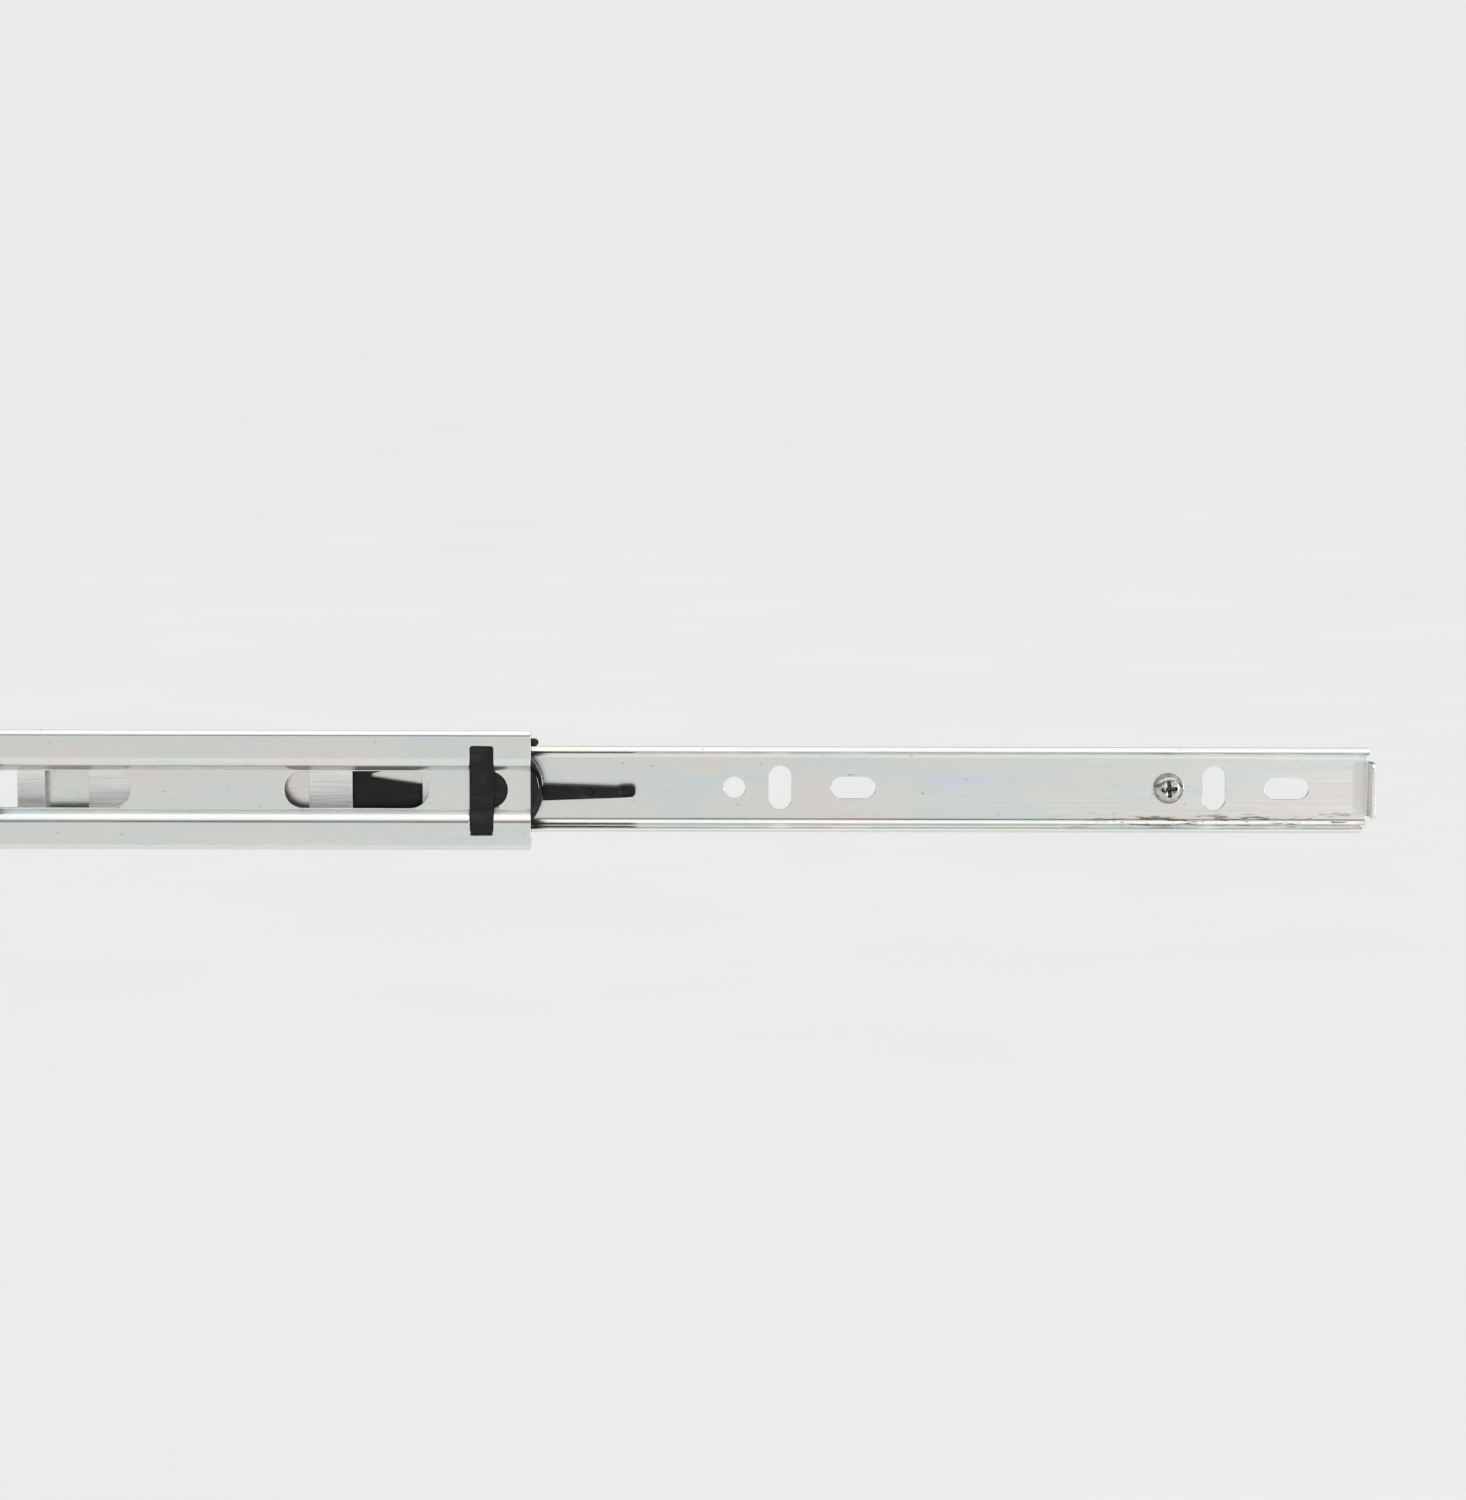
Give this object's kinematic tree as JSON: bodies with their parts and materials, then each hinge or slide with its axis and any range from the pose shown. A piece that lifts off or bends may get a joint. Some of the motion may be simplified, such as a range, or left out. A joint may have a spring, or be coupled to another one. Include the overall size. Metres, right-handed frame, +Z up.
{
  "type": "cabinet drawer slide",
  "caption": "Full-extension ball-bearing drawer slide: three nested steel rails, ball cages, black guide block and release lever.",
  "frame": {"origin": "middle of the cabinet rail's back face, on the slide's centre line", "axes": "+X the way the drawer opens, +Y from the cabinet wall to the drawer side, +Z up"},
  "size_m": [0.8039, 0.0251, 0.0448],
  "materials": {
    "steel": "bright zinc-plated cold-rolled strip",
    "cage_steel": "bright thin strip",
    "ball_steel": "polished",
    "rivet_steel": "zinc-plated",
    "screw_steel": "zinc-plated",
    "black_plastic": "satin moulded"
  },
  "bodies": {
    "cabinet": {"cabinet_rail": "steel", "cabinet_rear_bumper": "black_plastic", "rear_bumper_rivet": "rivet_steel"},
    "outer_cage": {"outer_cage": "cage_steel", "outer_balls_upper": "ball_steel", "outer_balls_lower": "ball_steel"},
    "middle": {"middle_rail": "steel", "guide_block": "black_plastic", "middle_rear_guide": "black_plastic", "rear_guide_rivet": "rivet_steel"},
    "inner_cage": {"inner_cage": "cage_steel", "inner_balls_upper": "ball_steel", "inner_balls_lower": "ball_steel", "inner_cage_tip": "black_plastic"},
    "drawer": {"drawer_rail": "steel", "lever_pin": "rivet_steel", "drawer_screw": "screw_steel"},
    "lever": {"release_lever": "black_plastic"}
  },
  "joints": [
    {"name": "middle_slide", "type": "slide", "parent": "cabinet", "child": "middle", "axis": [1, 0, 0], "range_m": [-0.161, 0]},
    {"name": "outer_cage_slide", "type": "slide", "parent": "cabinet", "child": "outer_cage", "axis": [1, 0, 0], "range_m": [-0.0805, 0]},
    {"name": "drawer_slide", "type": "slide", "parent": "middle", "child": "drawer", "axis": [1, 0, 0], "range_m": [-0.2429, 0]},
    {"name": "inner_cage_slide", "type": "slide", "parent": "middle", "child": "inner_cage", "axis": [1, 0, 0], "range_m": [-0.12145, 0]},
    {"name": "lever_hinge", "type": "hinge", "parent": "drawer", "child": "lever", "pos_m": [0.299, 0.0098, 0], "axis": [0, -1, 0], "range_deg": [0, 5.5], "stiffness_Nm_per_rad": 0.05, "springref_deg": -5.73}
  ],
  "couplings": [
    {"joint": "outer_cage_slide", "follows": "middle_slide", "ratio": 0.5},
    {"joint": "inner_cage_slide", "follows": "drawer_slide", "ratio": 0.5}
  ]
}
